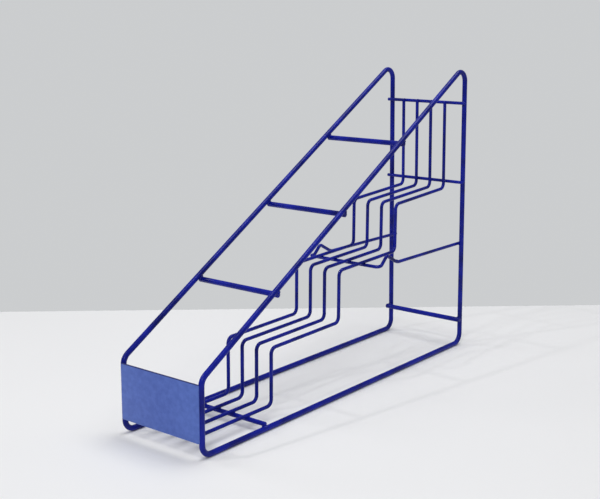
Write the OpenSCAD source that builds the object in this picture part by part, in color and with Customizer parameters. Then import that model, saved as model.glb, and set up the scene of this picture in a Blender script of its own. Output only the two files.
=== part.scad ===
// Stepped wire display stand for photo albums.
// X runs across the stand, Y runs from its front to its rear and Z points up.
// The origin is on the surface it stands on, under the middle of its outer box.
// Lengths are in millimetres and angles are in degrees.

/* [Wire stock] */
// Diameter of the thick wire: side frames, retaining bars and foot bars
frame_wire_d = 6; // [5:0.5:7]
// Diameter of the thin wire: step wires and their supports
step_wire_d = 4; // [3:0.5:5]
// How far two crossed wires sink into each other where they are welded
weld_sink = 0.2; // [0.1:0.05:0.4]

/* [Side frames] */
// Distance between the two side frames, wire centre to wire centre
frame_span = 108; // [90:1:140]
// Depth from the front upright to the rear peak, centre to centre
frame_depth = 480; // [400:1:580]
// Height at which the front upright meets the sloping wire
front_height = 81; // [78:1:100]
// Height at which the sloping wire meets the rear upright
rear_height = 364; // [345:1:440]
// How much further back the rear foot is than the rear peak
rear_splay = 10; // [0:1:20]
// Bend radius of the side frames, to the wire's centre
frame_bend_r = 12; // [9:1:16]

/* [Front panel] */
// How far the panel's sides stop short of the side frames' outer faces
panel_inset = 3; // [2:0.5:3.5]
// How far the panel's upper edge lies below the front corner of the side frames
panel_top_drop = 4; // [3:1:12]
// Thickness of the sheet
panel_t = 1.2; // [0.8:0.1:2]
// Gap between the panel's lower edge and the floor
panel_gap = 17; // [16:1:20]
// Corner radius of the panel
panel_corner_r = 2; // [1:0.5:5]

/* [Retaining bars] */
// Distance up the slope from the front corner to the first bar
bar_first = 129; // [110:1:140]
// Distance up the slope from each bar to the next
bar_pitch = 133; // [115:1:150]
// How far each bar's ends stop short of the side frames' outer faces
bar_setback = 2; // [0:0.5:3]

/* [Step wires] */
// Distance from each step wire to the next
step_pitch = 20.5; // [17:0.5:26]
// How far the step wires' front ends lie below the panel's upper edge
step_front_drop = 17; // [8:1:22]
// Height at which the step wires leave the panel and slope down to the first tread
step_front_low = 38; // [34:1:40]
// Depth from the front upright to the foot of that slope
step_front_y = 26; // [25:1:30]
// Bend radius of the step wires, to the wire's centre
step_bend_r = 7; // [5:0.5:9]
// Depth from the front upright to the first riser
riser_1_y = 131; // [120:1:140]
// Depth from the front upright to the second riser
riser_2_y = 251; // [240:1:262]
// Depth from the front upright to the third riser
riser_3_y = 365; // [352:1:376]
// Height of the second tread at its front edge
tread_1_z = 76; // [66:1:88]
// Height of the third tread at its front edge
tread_2_z = 138.5; // [128:0.5:150]
// Height of the fourth tread at its front edge
tread_3_z = 200; // [190:0.5:210]
// How much the second tread rises towards the rear
tread_1_rise = 2; // [0:0.5:6]
// How much the third tread rises towards the rear
tread_2_rise = 4; // [0:0.5:8]
// How much the fourth tread rises towards the rear
tread_3_rise = 7; // [0:0.5:10]

/* [Cross bars] */
// Diameter of the front cross bar, which lifts the first tread off the bottom rails
front_bar_d = 5; // [4:0.5:6]
// Depth from the front upright to the front cross bar
front_bar_y = 93; // [40:1:115]
// Height of the rear foot bar
rear_foot_z = 34; // [22:1:60]
// How far the bar behind the fourth tread lies above that tread's rear end
rear_shelf_over = 9; // [8:1:30]
// How far the bar that holds the step wires' top ends lies below the rear peak
rear_top_drop = 47.5; // [40:0.5:80]
// How far the step wires' top ends stand above the centre of that bar
step_top_over = 1.5; // [0:0.5:10]
// How far the rear bars' ends stand out past the side frames' outer faces
rear_bar_overhang = 0.5; // [0:0.5:4]

/* [Middle support] */
// Depth from the front upright to the support's front run
support_y = 301; // [285:1:320]
// Bend radius of the support's front corners
support_corner_r = 4; // [3:0.5:6]
// Length of straight wire between each front corner and the hump behind it
hump_lead = 2; // [1:0.5:10]
// Height of the hump in each arm above the front run
hump_rise = 10.5; // [6:0.5:14]
// Angle at which the hump's front side rises
hump_front_angle = 43; // [35:1:50]
// Angle at which the hump's back side falls
hump_back_angle = 28; // [22:1:36]
// Bend radius at the hump's front and top
hump_bend_r = 5; // [4:0.5:6]
// Bend radius of the hollow behind the hump
hollow_bend_r = 20; // [10:1:24]
// How far the arms lie below the front run
arm_drop = 1.2; // [0:0.1:3]

/* [Hidden] */
$fn = 48;

// A bend is a hair thicker than the straights, which reach a little way into it,
// so every joint between them is a clean step.
bend_swell = 0.02;
bend_lap = 0.3;

wire_blue = [0.09, 0.11, 0.50];
panel_blue = [0.33, 0.41, 0.74];

frame_r = frame_wire_d / 2;
step_r = step_wire_d / 2;
front_bar_r = front_bar_d / 2;
half_span = frame_span / 2;
frame_width = frame_span + frame_wire_d;
bar_length = frame_width - 2 * bar_setback;
rear_bar_length = frame_width + 2 * rear_bar_overhang;
step_count = 4;

// The side frame's four corners before bending, as depth and height.
front_foot = [0, frame_r];
front_corner = [0, front_height];
rear_peak = [frame_depth, rear_height];
rear_foot = [frame_depth + rear_splay, frame_r];
frame_corners = [front_foot, front_corner, rear_peak, rear_foot];

// Unit vector along the slope, and the one square to it that points under it.
slope_dir = (rear_peak - front_corner) / norm(rear_peak - front_corner);
under_dir = [slope_dir.y, -slope_dir.x];
bar_drop = frame_wire_d - weld_sink;

// Depth of the rear upright's centre at a height.
function rear_upright_y(z) =
    rear_foot.x + (rear_peak.x - rear_foot.x) * (z - rear_foot.y) / (rear_peak.y - rear_foot.y);

// Wires welded across the front of the rear uprights, and the risers in front of them.
function rear_bar_y(z, r) = rear_upright_y(z) - frame_r - r + weld_sink;
function last_riser_y(z) = rear_bar_y(z, step_r) - step_wire_d + weld_sink;

// The front cross bar lies on the bottom rails, and the step wires lie on it.
front_bar_z = frame_wire_d + front_bar_r - weld_sink;
tread_0_z = front_bar_z + front_bar_r + step_r - weld_sink;
tread_3_back_z = tread_3_z + tread_3_rise;
rear_shelf_z = tread_3_back_z + rear_shelf_over;
rear_top_z = rear_height - rear_top_drop;
step_top_z = rear_top_z + step_top_over;

// The panel is welded across the front uprights.
panel_w = frame_width - 2 * panel_inset;
panel_h = front_height - panel_top_drop - panel_gap;
panel_back_y = -frame_r + weld_sink;

// The step wire's corners before bending, as depth and height. Its front end is
// welded flat against the back of the panel.
step_lap_y = panel_back_y + step_r - weld_sink;
step_front_top = panel_gap + panel_h - step_front_drop;
step_corners = [
    [step_lap_y, step_front_top],
    [step_lap_y, step_front_low],
    [step_front_y, tread_0_z],
    [riser_1_y, tread_0_z],
    [riser_1_y, tread_1_z],
    [riser_2_y, tread_1_z + tread_1_rise],
    [riser_2_y, tread_2_z],
    [riser_3_y, tread_2_z + tread_2_rise],
    [riser_3_y, tread_3_z],
    [last_riser_y(tread_3_back_z), tread_3_back_z],
    [last_riser_y(step_top_z), step_top_z]
];

// The support's front run lies under the third tread.
support_z = tread_2_z + tread_2_rise * (support_y - riser_2_y) / (riser_3_y - riser_2_y)
    - step_wire_d + weld_sink;
arm_z = support_z - arm_drop;

// The arms pass inside the rear uprights and end flush with their backs.
arm_x = half_span - frame_r - step_r + weld_sink;
arm_end_y = rear_upright_y(arm_z) + frame_r;

// Each arm's corners before bending, from the front run back to the rear upright.
hump_start_y = support_y + support_corner_r + hump_lead + hump_bend_r * tan(hump_front_angle / 2);
hump_top_y = hump_start_y + hump_rise / tan(hump_front_angle);
hollow_y = hump_top_y + (hump_rise + arm_drop) / tan(hump_back_angle);
arm_corners = [
    [support_y, support_z],
    [hump_start_y, support_z],
    [hump_top_y, support_z + hump_rise],
    [hollow_y, arm_z],
    [arm_end_y, arm_z]
];
arm_radii = [support_corner_r, hump_bend_r, hump_bend_r, hollow_bend_r];

// The outer box, from the panel's face to the rear bend, is centred on the origin.
splay_turn = 90 + atan(rear_splay / (rear_peak.y - rear_foot.y));
rear_face_y = rear_foot.x - frame_bend_r * tan(splay_turn / 2) + frame_bend_r + frame_r;
middle_y = (rear_face_y + panel_back_y - panel_t) / 2;

function unit(v) = v / norm(v);
function turn_angle(u, v) = atan2(norm(cross(u, v)), u * v);

// Moves a shape from depth measured at the front upright to the stand's origin.
module on_stand() {
    translate([0, -middle_y, 0]) children();
}

// A straight round rod from one point to another.
module rod(from, to, r) {
    run = to - from;
    flat = norm([run.x, run.y]);
    translate(from)
        rotate([0, atan2(flat, run.z), atan2(run.y, run.x)])
            cylinder(h = norm(run), r = r);
}

// A round bend at a corner, between the directions u and v.
module bend(corner, u, v, bend_r, r) {
    turn = turn_angle(u, v);
    side = unit(v - (u * v) * u);
    start = corner - u * bend_r * tan(turn / 2);
    centre = start + side * bend_r;
    up = cross(-side, u);
    multmatrix([
        [-side.x, u.x, up.x, centre.x],
        [-side.y, u.y, up.y, centre.y],
        [-side.z, u.z, up.z, centre.z],
        [0, 0, 0, 1]
    ])
        rotate_extrude(angle = turn) translate([bend_r, 0]) circle(r = r + bend_swell);
}

// How far from corner i a straight ends: in its bend, or at an open wire's end.
function setback(p, radii, i, closed) =
    let (n = len(p))
    !closed && (i == 0 || i == n - 1)
        ? 0
        : radii[i] * tan(turn_angle(unit(p[i] - p[(i + n - 1) % n]), unit(p[(i + 1) % n] - p[i])) / 2)
            - bend_lap;

// A wire bent along corners p, with one bend radius for each corner.
module bent_wire(p, radii, r, closed = false) {
    n = len(p);
    union() {
        for (i = [0 : n - (closed ? 1 : 2)]) {
            j = (i + 1) % n;
            u = unit(p[j] - p[i]);
            rod(p[i] + u * setback(p, radii, i, closed), p[j] - u * setback(p, radii, j, closed), r);
        }
        for (i = [closed ? 0 : 1 : n - (closed ? 1 : 2)])
            bend(p[i], unit(p[i] - p[(i + n - 1) % n]), unit(p[(i + 1) % n] - p[i]), radii[i], r);
    }
}

// A straight bar across the stand at a depth and a height.
module cross_bar(y, z, r, length = bar_length) {
    rod([-length / 2, y, z], [length / 2, y, z], r);
}

module side_frame(x) {
    color(wire_blue) on_stand()
        bent_wire(
            [for (c = frame_corners) [x, c.x, c.y]],
            [for (c = frame_corners) frame_bend_r],
            frame_r,
            closed = true
        );
}

module left_side_frame() {
    side_frame(-half_span);
}

module right_side_frame() {
    side_frame(half_span);
}

module front_panel() {
    color(panel_blue) on_stand()
        translate([0, panel_back_y, panel_gap + panel_h / 2])
            rotate([90, 0, 0])
                linear_extrude(panel_t) rounded_sheet(panel_w, panel_h, panel_corner_r);
}

// A flat sheet's outline with rounded corners, centred on the origin.
module rounded_sheet(w, h, r) {
    union() {
        square([w - 2 * r, h], center = true);
        square([w, h - 2 * r], center = true);
        for (x = [-1, 1], z = [-1, 1])
            translate([x * (w / 2 - r), z * (h / 2 - r)]) circle(r = r);
    }
}

// A thick bar under the sloping wires, a distance up the slope.
module retaining_bar(up_slope) {
    place = front_corner + slope_dir * up_slope + under_dir * bar_drop;
    color(wire_blue) on_stand() cross_bar(place.x, place.y, frame_r);
}

module lower_retaining_bar() {
    retaining_bar(bar_first);
}

module middle_retaining_bar() {
    retaining_bar(bar_first + bar_pitch);
}

module upper_retaining_bar() {
    retaining_bar(bar_first + 2 * bar_pitch);
}

// One step wire, counted from the left.
module step_wire(number) {
    x = (number - (step_count + 1) / 2) * step_pitch;
    color(wire_blue) on_stand()
        bent_wire(
            [for (c = step_corners) [x, c.x, c.y]],
            [for (c = step_corners) step_bend_r],
            step_r
        );
}

module front_cross_bar() {
    color(wire_blue) on_stand() cross_bar(front_bar_y, front_bar_z, front_bar_r);
}

// A bent wire under the third tread, with a humped arm back to each rear upright.
module middle_support_wire() {
    last = len(arm_corners) - 1;
    left_arm = [for (i = [last : -1 : 0]) [-arm_x, arm_corners[i].x, arm_corners[i].y]];
    right_arm = [for (c = arm_corners) [arm_x, c.x, c.y]];
    left_radii = [for (i = [last : -1 : 0]) i < last ? arm_radii[i] : 0];
    color(wire_blue) on_stand()
        bent_wire(concat(left_arm, right_arm), concat(left_radii, arm_radii, [0]), step_r);
}

// A bar across the fronts of the rear uprights, at a height.
module rear_bar(z, r) {
    color(wire_blue) on_stand() cross_bar(rear_bar_y(z, r), z, r, rear_bar_length);
}

module rear_foot_bar() {
    rear_bar(rear_foot_z, frame_r);
}

module rear_shelf_bar() {
    rear_bar(rear_shelf_z, step_r);
}

module rear_top_bar() {
    rear_bar(rear_top_z, step_r);
}

left_side_frame();
right_side_frame();
front_panel();
lower_retaining_bar();
middle_retaining_bar();
upper_retaining_bar();
step_wire(1);  // step_wire_1
step_wire(2);  // step_wire_2
step_wire(3);  // step_wire_3
step_wire(4);  // step_wire_4
front_cross_bar();
middle_support_wire();
rear_foot_bar();
rear_shelf_bar();
rear_top_bar();
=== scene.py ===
"""Dresses a stepped wire display stand for photo albums and sets it on a pale table."""

import logging
import math
import random
from dataclasses import dataclass, field
from enum import Enum
from typing import Iterable

import bmesh
import bpy
from mathutils import Matrix, Vector


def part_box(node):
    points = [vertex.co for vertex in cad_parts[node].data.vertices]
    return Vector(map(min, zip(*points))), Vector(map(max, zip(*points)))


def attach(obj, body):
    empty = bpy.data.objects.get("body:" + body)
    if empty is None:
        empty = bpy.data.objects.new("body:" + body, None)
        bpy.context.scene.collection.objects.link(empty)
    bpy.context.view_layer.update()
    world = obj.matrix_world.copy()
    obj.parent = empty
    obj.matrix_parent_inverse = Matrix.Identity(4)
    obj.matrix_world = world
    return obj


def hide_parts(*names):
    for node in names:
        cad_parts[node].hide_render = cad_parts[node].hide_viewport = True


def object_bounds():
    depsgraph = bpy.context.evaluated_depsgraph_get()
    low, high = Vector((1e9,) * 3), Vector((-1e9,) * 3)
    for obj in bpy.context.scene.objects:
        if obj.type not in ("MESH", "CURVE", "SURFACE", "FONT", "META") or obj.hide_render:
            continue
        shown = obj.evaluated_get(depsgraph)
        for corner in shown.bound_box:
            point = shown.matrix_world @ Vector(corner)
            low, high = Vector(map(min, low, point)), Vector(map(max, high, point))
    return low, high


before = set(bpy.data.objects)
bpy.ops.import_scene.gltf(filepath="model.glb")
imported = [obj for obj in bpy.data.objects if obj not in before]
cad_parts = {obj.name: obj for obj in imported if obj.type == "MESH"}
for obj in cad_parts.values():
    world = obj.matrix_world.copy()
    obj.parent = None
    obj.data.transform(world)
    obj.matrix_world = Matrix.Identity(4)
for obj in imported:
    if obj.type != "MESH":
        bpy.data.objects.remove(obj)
CAD_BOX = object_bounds()

LOG = logging.getLogger("album_stand")
MM = 0.001
ROOT_BODY = "root"

ACROSS = Vector((1, 0, 0))
BACK = Vector((0, 1, 0))
UP = Vector((0, 0, 1))

SIDE_FRAMES = ("left_side_frame", "right_side_frame")
STEP_WIRES = tuple(f"step_wire_{number}" for number in range(1, 5))
SUPPORT_WIRE = "middle_support_wire"
RETAINING_BARS = ("lower_retaining_bar", "middle_retaining_bar", "upper_retaining_bar")
FRONT_BAR = "front_cross_bar"
REAR_BARS = ("rear_foot_bar", "rear_shelf_bar", "rear_top_bar")
PANEL = "front_panel"

# Where a Mix node has its two colours and its mixed colour.
MIX_FIRST = 6
MIX_SECOND = 7
MIX_RESULT = 2

Colour = tuple[float, float, float]


class RecordSlot(Enum):
    """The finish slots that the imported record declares."""

    WIRE = "wire_coat"
    PANEL = "panel_coat"


# ---------------------------------------------------------------- shader tools


class Signal:
    """A node's output socket that numbers and other signals can be combined with."""

    def __init__(self, graph: "NodeGraph", socket: bpy.types.NodeSocket) -> None:
        """Wraps a socket.

        Args:
            graph: The node graph that the socket is in.
            socket: The output socket.
        """
        self.graph = graph
        self.socket = socket

    def _math(self, operation: str, *values: "Signal | float") -> "Signal":
        """Adds a Math node.

        Args:
            operation: The node's operation.
            values: What its inputs take, in order.

        Returns:
            The node's result.
        """
        inputs = dict(enumerate(values))
        return self.graph.node("ShaderNodeMath", {"operation": operation}, inputs)

    def __add__(self, other: "Signal | float") -> "Signal":
        """This plus other."""
        return self._math("ADD", self, other)

    __radd__ = __add__

    def __sub__(self, other: "Signal | float") -> "Signal":
        """This minus other."""
        return self._math("SUBTRACT", self, other)

    def __rsub__(self, other: float) -> "Signal":
        """Other minus this."""
        return self._math("SUBTRACT", other, self)

    def __mul__(self, other: "Signal | float") -> "Signal":
        """This times other."""
        return self._math("MULTIPLY", self, other)

    __rmul__ = __mul__

    def step_up(self, low: float, high: float) -> "Signal":
        """Ramps up between two values.

        Args:
            low: Where the ramp is 0, and below.
            high: Where the ramp is 1, and above.

        Returns:
            The ramp.
        """
        spread = (self - low) * (1.0 / (high - low))
        return self._math("MINIMUM", self._math("MAXIMUM", spread, 0.0), 1.0)


class NodeGraph:
    """A node tree, built from one node method."""

    def __init__(self, tree: bpy.types.NodeTree) -> None:
        """Wraps a node tree."""
        self.tree = tree

    def node(
        self,
        kind: str,
        settings: dict[str, object] | None = None,
        inputs: "dict[str | int, object] | None" = None,
        output: str | int = 0,
    ) -> Signal:
        """Adds a node.

        Args:
            kind: The node's type.
            settings: The properties, which are set first.
            inputs: A signal or a constant for each socket that isn't left alone.
            output: The output to return.

        Returns:
            That output as a signal.
        """
        made = self.tree.nodes.new(kind)
        for key, value in (settings or {}).items():
            setattr(made, key, value)
        for key, value in (inputs or {}).items():
            self.feed(made.inputs[key], value)
        return Signal(self, made.outputs[output])

    def feed(self, socket: bpy.types.NodeSocket, value: object) -> None:
        """Links a signal to a socket, or sets the socket to a constant.

        Args:
            socket: The input socket.
            value: A signal, a number or a colour.
        """
        if isinstance(value, Signal):
            self.tree.links.new(value.socket, socket)
        elif socket.type == "RGBA":
            socket.default_value = (*value, 1.0)
        else:
            socket.default_value = value

    def place(self) -> Signal:
        """Object coordinates, in metres."""
        return self.node("ShaderNodeTexCoord", output="Object")

    def noise(self, scale: float, detail: float = 2.0, roughness: float = 0.5) -> Signal:
        """Fractal noise over Object coordinates.

        Args:
            scale: Cells in a metre.
            detail: Octaves.
            roughness: How strong the finer octaves are.

        Returns:
            The noise, from 0 to 1.
        """
        inputs = {"Vector": self.place(), "Scale": scale, "Detail": detail, "Roughness": roughness}
        return self.node("ShaderNodeTexNoise", inputs=inputs)

    def mix(self, factor: Signal, first: "Signal | Colour", second: "Signal | Colour") -> Signal:
        """Mixes two colours.

        Args:
            factor: 0 for the first colour, 1 for the second.
            first: A colour or a colour signal.
            second: The other one.

        Returns:
            The mixed colour.
        """
        inputs = {"Factor": factor, MIX_FIRST: first, MIX_SECOND: second}
        return self.node("ShaderNodeMix", {"data_type": "RGBA"}, inputs, MIX_RESULT)

    def bump(self, height: Signal, strength: float, distance: float) -> Signal:
        """A Bump node's normal.

        Args:
            height: The relief, from 0 to 1.
            strength: The node's strength.
            distance: The relief's depth in metres.

        Returns:
            The bumped normal.
        """
        inputs = {"Height": height, "Strength": strength, "Distance": distance}
        return self.node("ShaderNodeBump", inputs=inputs)


class Shader(NodeGraph):
    """A material's node graph, with one Principled shader at its end."""

    def __init__(self, name: str) -> None:
        """Starts a material.

        Args:
            name: The material's name.
        """
        self.material = bpy.data.materials.new(name)
        self.material.use_nodes = True
        super().__init__(self.material.node_tree)
        self.tree.nodes.clear()
        output = self.tree.nodes.new("ShaderNodeOutputMaterial")
        self.surface = self.tree.nodes.new("ShaderNodeBsdfPrincipled")
        self.tree.links.new(self.surface.outputs["BSDF"], output.inputs["Surface"])

    def set_surface(self, **values: object) -> None:
        """Sets or feeds the Principled shader's sockets, named with _ for spaces."""
        for key, value in values.items():
            self.feed(self.surface.inputs[key.replace("_", " ")], value)


# -------------------------------------------------------------------- finishes


@dataclass(frozen=True)
class WireCoat:
    """Gloss powder coat on wire: deep blue, thin and darker where it was sprayed less."""

    name: str = "wire_powder_coat"
    deep: Colour = (0.001, 0.003, 0.095)
    full: Colour = (0.005, 0.012, 0.290)
    roughness: float = 0.20
    roughness_spread: float = 0.10
    specular: float = 0.12
    coat: float = 0.09
    coat_roughness: float = 0.06
    cloud_scale: float = 38.0
    cloud_range: tuple[float, float] = (0.25, 0.60)
    peel_scale: float = 620.0
    peel_strength: float = 0.15
    peel_depth: float = 0.05 * MM

    def material(self) -> bpy.types.Material:
        """The finish as a material."""
        shader = Shader(self.name)
        clouds = shader.noise(self.cloud_scale, detail=3.0).step_up(*self.cloud_range)
        peel = shader.noise(self.peel_scale, detail=1.0)
        shader.set_surface(
            Base_Color=shader.mix(clouds, self.deep, self.full),
            Roughness=peel * self.roughness_spread + self.roughness,
            Specular_IOR_Level=self.specular,
            Coat_Weight=self.coat,
            Coat_Roughness=self.coat_roughness,
            Normal=shader.bump(peel, self.peel_strength, self.peel_depth),
        )
        return shader.material


@dataclass(frozen=True)
class PanelCoat:
    """Semi-gloss powder coat on the sheet: lighter partly by painted reflection, mottled, with a
    fine orange peel and painted shade along its top edge.
    """

    name: str = "panel_coat_with_painted_light"
    # Painted reflection: both blues are the coat's blue lifted lighter than the wire's blue,
    # standing in for the gloss sheet reflecting the pale room.
    deep: Colour = (0.066, 0.122, 0.450)
    full: Colour = (0.092, 0.166, 0.540)
    # Painted shade: the colour of a thin dark band along the sheet's top edge.
    top_edge_shade: Colour = (0.010, 0.016, 0.130)
    top_edge_shade_depth: float = 1.1 * MM
    top_edge_shade_fade: float = 0.6
    roughness: float = 0.38
    roughness_spread: float = 0.14
    specular: float = 0.35
    mottle_scale: float = 170.0
    mottle_share: float = 0.7
    drift_scale: float = 22.0
    tone_range: tuple[float, float] = (0.36, 0.64)
    peel_scale: float = 900.0
    peel_strength: float = 0.5
    peel_depth: float = 0.06 * MM

    def material(self) -> bpy.types.Material:
        """The finish as a material."""
        shader = Shader(self.name)
        mottle = shader.noise(self.mottle_scale, detail=4.0, roughness=0.6)
        drift = shader.noise(self.drift_scale, detail=1.0)
        peel = shader.noise(self.peel_scale, detail=2.0)
        blend = mottle * self.mottle_share + drift * (1.0 - self.mottle_share)
        face = shader.mix(blend.step_up(*self.tone_range), self.deep, self.full)
        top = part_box(PANEL)[1].z
        height = shader.node("ShaderNodeSeparateXYZ", inputs={"Vector": shader.place()}, output="Z")
        # Painted shade mask: rises from 0 to 1 just below the sheet's top edge.
        top_edge_shade = height.step_up(top - self.top_edge_shade_depth, top - self.top_edge_shade_fade * self.top_edge_shade_depth)
        shader.set_surface(
            Base_Color=shader.mix(top_edge_shade, face, self.top_edge_shade),
            Roughness=peel * self.roughness_spread + self.roughness,
            Specular_IOR_Level=self.specular,
            Normal=shader.bump(peel, self.peel_strength, self.peel_depth),
        )
        return shader.material


@dataclass(frozen=True)
class StudioSurface:
    """A matt pale surface with a barely visible drift in its tone."""

    name: str
    tone: Colour
    drift: float = 0.02
    drift_scale: float = 2.5
    drift_range: tuple[float, float] = (0.3, 0.7)
    roughness: float = 0.6
    specular: float = 0.2

    def material(self) -> bpy.types.Material:
        """The finish as a material."""
        shader = Shader(self.name)
        shade = tuple(channel * (1.0 - self.drift) for channel in self.tone)
        drift = shader.noise(self.drift_scale, detail=1.0).step_up(*self.drift_range)
        shader.set_surface(
            Base_Color=shader.mix(drift, shade, self.tone),
            Roughness=self.roughness,
            Specular_IOR_Level=self.specular,
        )
        return shader.material


# ------------------------------------------------------------------ mesh tools


def finished_piece(
    name: str, mesh: bmesh.types.BMesh, material: bpy.types.Material, slot: RecordSlot | None
) -> bpy.types.Object:
    """Turns a bmesh into a smooth-shaded piece.

    Args:
        name: The piece's name.
        mesh: The bmesh, which is freed.
        material: The finish it takes.
        slot: The record's slot, or None for a piece of the studio.

    Returns:
        The new object, at the origin.
    """
    bmesh.ops.remove_doubles(mesh, verts=mesh.verts, dist=0.0001 * MM)
    bmesh.ops.recalc_face_normals(mesh, faces=mesh.faces)
    data = bpy.data.meshes.new(name)
    mesh.to_mesh(data)
    mesh.free()
    data.materials.append(material)
    data.shade_smooth()
    piece = bpy.data.objects.new(name, data)
    bpy.context.scene.collection.objects.link(piece)
    if slot is not None:
        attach(piece, ROOT_BODY)
    LOG.info("piece %s: %d faces", name, len(data.polygons))
    return piece


def sharp_edges(mesh: bmesh.types.BMesh) -> list[bmesh.types.BMEdge]:
    """The edges where a mesh turns by over 60 degrees."""
    return [edge for edge in mesh.edges if edge.calc_face_angle(0.0) > math.radians(60)]


def round_over(
    mesh: bmesh.types.BMesh, edges: list[bmesh.types.BMEdge], radius: float, segments: int
) -> None:
    """Rounds edges over.

    Args:
        mesh: The bmesh that they are in.
        edges: The edges.
        radius: How far the rounding reaches.
        segments: The faces across it.
    """
    bmesh.ops.bevel(
        mesh, geom=edges, offset=radius, affect="EDGES", segments=segments, profile=0.5, material=-1
    )


def middle(node: str) -> Vector:
    """The middle of a CAD node's box."""
    low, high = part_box(node)
    return (low + high) / 2


def aimed(across: Vector, along: Vector) -> Matrix:
    """A turn that takes Z to across and X as near as it can to along.

    Args:
        across: The direction that Z goes to.
        along: The direction that X leans to.

    Returns:
        The turn as a 3 by 3 matrix.
    """
    up = across.normalized()
    side = up.cross(along).normalized()
    front = side.cross(up)
    return Matrix((front, side, up)).transposed()


def dress(nodes: Iterable[str], material: bpy.types.Material) -> None:
    """Gives CAD nodes a finish.

    Args:
        nodes: The nodes' names.
        material: The finish.
    """
    for name in nodes:
        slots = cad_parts[name].data.materials
        slots.clear()
        slots.append(material)
        LOG.info("node %s: finish %s", name, material.name)


# ------------------------------------------------------------------ sub-assemblies


@dataclass
class RoundBar:
    """A straight bar across the stand, with its cut ends rounded over by the coat."""

    node: str
    end_radius: float = 0.7 * MM
    end_segments: int = 4
    facets: int = 40

    def build(self, material: bpy.types.Material) -> bpy.types.Object:
        """Makes the bar in place of its CAD node.

        Args:
            material: The bar's finish.

        Returns:
            The bar.
        """
        low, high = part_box(self.node)
        radius = (high.z - low.z) / 2
        mesh = bmesh.new()
        turn = aimed(ACROSS, UP).to_4x4()
        start = Vector((low.x, (low.y + high.y) / 2, (low.z + high.z) / 2))
        circle = bmesh.ops.create_circle(
            mesh, cap_ends=True, segments=self.facets, radius=radius, matrix=turn
        )
        bmesh.ops.translate(mesh, verts=circle["verts"], vec=start)
        grown = bmesh.ops.extrude_face_region(mesh, geom=list(mesh.faces), use_keep_orig=True)
        moved = [item for item in grown["geom"] if isinstance(item, bmesh.types.BMVert)]
        bmesh.ops.translate(mesh, verts=moved, vec=ACROSS * (high.x - low.x))
        round_over(mesh, sharp_edges(mesh), self.end_radius, self.end_segments)
        bar = finished_piece(self.node.replace("_bar", "_rod"), mesh, material, RecordSlot.WIRE)
        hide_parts(self.node)
        return bar


@dataclass
class CrossBars:
    """The seven straight bars that tie the two side frames together."""

    nodes: tuple[str, ...] = (*RETAINING_BARS, FRONT_BAR, *REAR_BARS)

    def build(self, material: bpy.types.Material) -> None:
        """Makes every bar.

        Args:
            material: The bars' finish.
        """
        for node in self.nodes:
            RoundBar(node).build(material)


@dataclass
class FrontPanel:
    """The flat sheet across the front uprights, with edges softened by the coat."""

    node: str = PANEL
    corner_radius: float = 2.0 * MM
    corner_segments: int = 8
    edge_radius: float = 0.35 * MM
    edge_segments: int = 3

    def build(self, material: bpy.types.Material) -> bpy.types.Object:
        """Makes the sheet in place of its CAD node.

        Args:
            material: The sheet's finish.

        Returns:
            The sheet.
        """
        low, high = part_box(self.node)
        mesh = bmesh.new()
        bmesh.ops.create_cube(mesh, size=1.0)
        bmesh.ops.scale(mesh, verts=mesh.verts, vec=high - low)
        bmesh.ops.translate(mesh, verts=mesh.verts, vec=(low + high) / 2)
        corners = [edge for edge in mesh.edges if self._runs_through(edge)]
        round_over(mesh, corners, self.corner_radius, self.corner_segments)
        round_over(mesh, sharp_edges(mesh), self.edge_radius, self.edge_segments)
        panel = finished_piece("front_sheet", mesh, material, RecordSlot.PANEL)
        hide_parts(self.node)
        return panel

    def _runs_through(self, edge: bmesh.types.BMEdge) -> bool:
        """Whether an edge runs through the sheet's thickness."""
        first, second = edge.verts
        return abs(first.co.y - second.co.y) > 0.5 * (first.co - second.co).length


@dataclass
class Weld:
    """A small melted bead where two crossed wires touch.

    across points from one wire to the other, and along runs with one of them.
    """

    place: Vector
    across: Vector
    along: Vector
    reach: float
    depth: float


@dataclass
class WeldSet:
    """The welds of one joint family, made as one piece of many small beads."""

    name: str
    welds: list[Weld]
    uneven: float = 0.10
    fineness: int = 3

    def build(self, material: bpy.types.Material, seed: int) -> bpy.types.Object:
        """Makes the beads.

        Args:
            material: Their finish.
            seed: What their unevenness is drawn from.

        Returns:
            The piece that holds them all.
        """
        draw = random.Random(seed)
        mesh = bmesh.new()
        for weld in self.welds:
            size = Vector((weld.reach, weld.reach, weld.depth))
            size *= 1.0 + draw.uniform(-self.uneven, self.uneven)
            shape = Matrix.Translation(weld.place) @ aimed(weld.across, weld.along).to_4x4()
            shape = shape @ Matrix.Diagonal((*size, 1.0))
            bmesh.ops.create_icosphere(mesh, subdivisions=self.fineness, radius=1.0, matrix=shape)
        return finished_piece(self.name, mesh, material, RecordSlot.WIRE)


@dataclass
class StandLayout:
    """Where the stand's wires run, read from the CAD nodes' boxes."""

    frame_places: list[float] = field(init=False)
    frame_radius: float = field(init=False)
    step_places: list[float] = field(init=False)
    step_radius: float = field(init=False)

    def __post_init__(self) -> None:
        """Reads the layout."""
        self.frame_places = [middle(node).x for node in SIDE_FRAMES]
        self.frame_radius = self._half_width(SIDE_FRAMES[-1])
        self.step_places = [middle(node).x for node in STEP_WIRES]
        self.step_radius = self._half_width(STEP_WIRES[0])

    def _half_width(self, node: str) -> float:
        """Half of a node's size across the stand."""
        low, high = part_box(node)
        return (high.x - low.x) / 2


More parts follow.
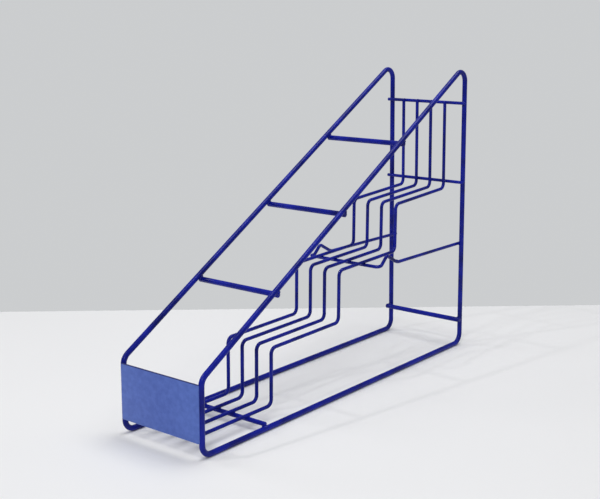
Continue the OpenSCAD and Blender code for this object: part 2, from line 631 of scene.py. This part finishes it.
@dataclass
class Welds:
    """Every weld on the stand."""

    layout: StandLayout
    reach_share: float = 1.19
    depth_share: float = 0.55
    panel_heights: tuple[float, ...] = (0.2, 0.5, 0.75)
    lap_reach: float = 2.6 * MM
    lap_depth: float = 0.5 * MM
    upright_share: float = 0.9
    arm_end_radii: float = 1.5
    coat_run_back: float = 42 * MM
    coat_run_reach: float = 1.2
    coat_run_depth: float = 0.7

    def bead(self, place: Vector, across: Vector, radius: float) -> Weld:
        """One weld between wires of about one radius.

        Args:
            place: Where the wires touch.
            across: From one wire to the other.
            radius: The thinner wire's radius.

        Returns:
            The weld.
        """
        along = UP if across is ACROSS else ACROSS
        return Weld(place, across, along, radius * self.reach_share, radius * self.depth_share)

    def lap(self, x: float, height: float) -> Weld:
        """One flat weld on the back of the sheet.

        Args:
            x: Its place across the stand.
            height: Its height.

        Returns:
            The weld.
        """
        place = Vector((x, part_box(PANEL)[1].y + self.lap_depth, height))
        return Weld(place, BACK, UP, self.lap_reach, 2 * self.lap_depth)

    def retaining(self) -> list[Weld]:
        """The retaining bars under the two sloping wires."""
        found = []
        slope = (middle(RETAINING_BARS[-1]) - middle(RETAINING_BARS[0])).normalized()
        over = Vector((0, -slope.z, slope.y))
        for node in RETAINING_BARS:
            centre = middle(node)
            for x in self.layout.frame_places:
                place = Vector((x, centre.y, centre.z)) + over * self.layout.frame_radius
                found.append(self.bead(place, over, self.layout.frame_radius))
        return found

    def rails(self) -> list[Weld]:
        """The front cross bar on the bottom rails."""
        low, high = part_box(FRONT_BAR)
        centre = (low + high) / 2
        radius = (high.z - low.z) / 2
        places = [Vector((x, centre.y, low.z)) for x in self.layout.frame_places]
        return [self.bead(place, UP, radius) for place in places]

    def rear(self) -> list[Weld]:
        """The three rear bars on the rear uprights."""
        found = []
        for node in REAR_BARS:
            low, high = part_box(node)
            radius = (high.z - low.z) / 2
            for x in self.layout.frame_places:
                place = Vector((x, high.y, (low.z + high.z) / 2))
                found.append(self.bead(place, BACK, radius))
        return found

    def steps(self) -> list[Weld]:
        """The step wires on their bars, and on the support at the height of its arms' tops."""
        found = []
        radius = self.layout.step_radius
        front_low, front_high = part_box(FRONT_BAR)
        bar_y = (front_low.y + front_high.y) / 2
        support_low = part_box(SUPPORT_WIRE)[0]
        run_y, arm_top = support_low.y + radius, support_low.z + 2 * radius
        for x in self.layout.step_places:
            found.append(self.bead(Vector((x, bar_y, front_high.z)), UP, radius))
            found.append(self.bead(Vector((x, run_y, arm_top)), UP, radius))
            for node in REAR_BARS[1:]:
                low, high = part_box(node)
                found.append(self.bead(Vector((x, low.y, (low.z + high.z) / 2)), BACK, radius))
        return found

    def panel(self) -> list[Weld]:
        """The sheet on the front uprights, and the step wires' ends on its back."""
        low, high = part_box(PANEL)
        found = []
        for share in self.panel_heights:
            height = low.z + share * (high.z - low.z)
            for x in self.layout.frame_places:
                inner = x - math.copysign(self.layout.frame_radius * self.upright_share, x)
                found.append(self.lap(inner, height))
        for x in self.layout.step_places:
            for share in self.panel_heights[1:]:
                height = low.z + share * (high.z - low.z) - self.layout.frame_radius
                found.append(self.lap(x, height))
        return found

    def support(self) -> list[Weld]:
        """The middle support's arms on the rear uprights, and the coat's run in its right hollow."""
        low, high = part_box(SUPPORT_WIRE)
        radius = self.layout.step_radius
        height = low.z + radius
        arm_y = high.y - self.arm_end_radii * radius
        found = [self.bead(Vector((x, arm_y, height)), ACROSS, radius) for x in (low.x, high.x)]
        run = Vector((high.x - radius, low.y + self.coat_run_back, height + radius))
        reach, depth = radius * self.coat_run_reach, radius * self.coat_run_depth
        found.append(Weld(run, UP, BACK, reach, depth))
        return found

    def build(self, material: bpy.types.Material) -> None:
        """Makes every weld.

        Args:
            material: Their finish.
        """
        sets = {
            "retaining_bar_welds": self.retaining(),
            "bottom_rail_welds": self.rails(),
            "rear_bar_welds": self.rear(),
            "step_wire_welds": self.steps(),
            "panel_welds": self.panel(),
            "support_welds": self.support(),
        }
        for seed, (name, welds) in enumerate(sets.items()):
            WeldSet(name, welds).build(material, seed)


# ---------------------------------------------------------------------- studio


@dataclass(frozen=True)
class SoftLight:
    """A square soft light that points at the stand's middle."""

    name: str
    place: tuple[float, float, float]
    size: float
    power: float

    def build(self, target: Vector) -> None:
        """Makes the light.

        Args:
            target: What it points at.
        """
        data = bpy.data.lights.new(self.name, "AREA")
        data.shape = "SQUARE"
        data.size = self.size
        data.energy = self.power
        lamp = bpy.data.objects.new(self.name, data)
        lamp.location = self.place
        lamp.rotation_mode = "QUATERNION"
        lamp.rotation_quaternion = (target - Vector(self.place)).to_track_quat("-Z", "Y")
        bpy.context.scene.collection.objects.link(lamp)


@dataclass
class Studio:
    """The table, the pale room around it, the lights and the camera."""

    yaw: float = math.radians(37.71)
    pitch: float = math.radians(11.61)
    roll: float = math.radians(0.406)
    camera_place: tuple[float, float, float] = (0.72218, -0.93803, 0.41367)
    lens: float = 63.53
    sensor_width: float = 36.0
    shift: tuple[float, float] = (-0.0202, -0.0148)
    table_depth: float = 0.331
    table_half_width: float = 3.0
    table_turn: float = math.radians(4.0)
    table_front: float = 2.5
    table_tone: Colour = (0.86, 0.86, 0.87)
    lights: tuple[SoftLight, ...] = (
        SoftLight("overhead_light", (0.1, 0.3, 1.7), 1.1, 14.0),
        SoftLight("front_light", (1.0, -1.9, 1.5), 0.7, 14.0),
        SoftLight("left_light", (-1.7, -0.6, 1.1), 0.6, 5.0),
        SoftLight("ceiling_lamp", (-0.5, -0.9, 1.6), 0.06, 3.5),
    )
    backdrop_tone: Colour = (0.600, 0.612, 0.622)
    room_tone: Colour = (0.350, 0.355, 0.360)

    def build_table(self) -> None:
        """Makes the table top, whose far edge runs across the view behind the stand."""
        turn = Matrix.Rotation(self.yaw + self.table_turn, 3, "Z")
        table = bmesh.new()
        bmesh.ops.create_grid(table, x_segments=1, y_segments=1, size=1.0)
        length = (self.table_depth + self.table_front) / 2
        bmesh.ops.scale(table, verts=table.verts, vec=(self.table_half_width, length, 1.0))
        bmesh.ops.translate(table, verts=table.verts, vec=(0, self.table_depth - length, 0))
        bmesh.ops.rotate(table, verts=table.verts, matrix=turn)
        finish = StudioSurface("table_white", self.table_tone).material()
        finished_piece("table_top", table, finish, None)

    def build_camera(self) -> None:
        """Makes the camera and hands it to the scene."""
        forward = Vector(
            (
                -math.sin(self.yaw) * math.cos(self.pitch),
                math.cos(self.yaw) * math.cos(self.pitch),
                -math.sin(self.pitch),
            )
        )
        level = Vector((math.cos(self.yaw), math.sin(self.yaw), 0.0))
        above = level.cross(forward)
        right = level * math.cos(self.roll) + above * math.sin(self.roll)
        up = above * math.cos(self.roll) - level * math.sin(self.roll)
        data = bpy.data.cameras.new("stand_camera")
        data.lens = self.lens
        data.sensor_width = self.sensor_width
        data.sensor_fit = "HORIZONTAL"
        data.shift_x, data.shift_y = self.shift
        camera = bpy.data.objects.new("stand_camera", data)
        turn = Matrix((right, up, -forward)).transposed()
        camera.matrix_world = Matrix.Translation(self.camera_place) @ turn.to_4x4()
        bpy.context.scene.collection.objects.link(camera)
        bpy.context.scene.camera = camera

    def build_world(self) -> None:
        """Makes the even light that the room gives."""
        world = bpy.data.worlds.new("pale_room")
        world.use_nodes = True
        graph = NodeGraph(world.node_tree)
        seen = graph.node("ShaderNodeLightPath", output="Is Camera Ray")
        tone = graph.mix(seen, self.room_tone, self.backdrop_tone)
        graph.feed(world.node_tree.nodes["Background"].inputs["Color"], tone)
        bpy.context.scene.world = world
        bpy.context.scene.view_settings.view_transform = "Standard"

    def build(self) -> None:
        """Makes the whole studio."""
        low, high = CAD_BOX
        for light in self.lights:
            light.build((low + high) / 2)
        self.build_table()
        self.build_camera()
        self.build_world()


# ------------------------------------------------------------------------ main


def main() -> None:
    """Builds the stand's finishes and pieces, then the studio."""
    wire = WireCoat().material()
    dress((*SIDE_FRAMES, SUPPORT_WIRE, *STEP_WIRES), wire)
    CrossBars().build(wire)
    FrontPanel().build(PanelCoat().material())
    Welds(StandLayout()).build(wire)
    Studio().build()


if __name__ == "__main__":
    logging.basicConfig(level=logging.INFO)
    main()
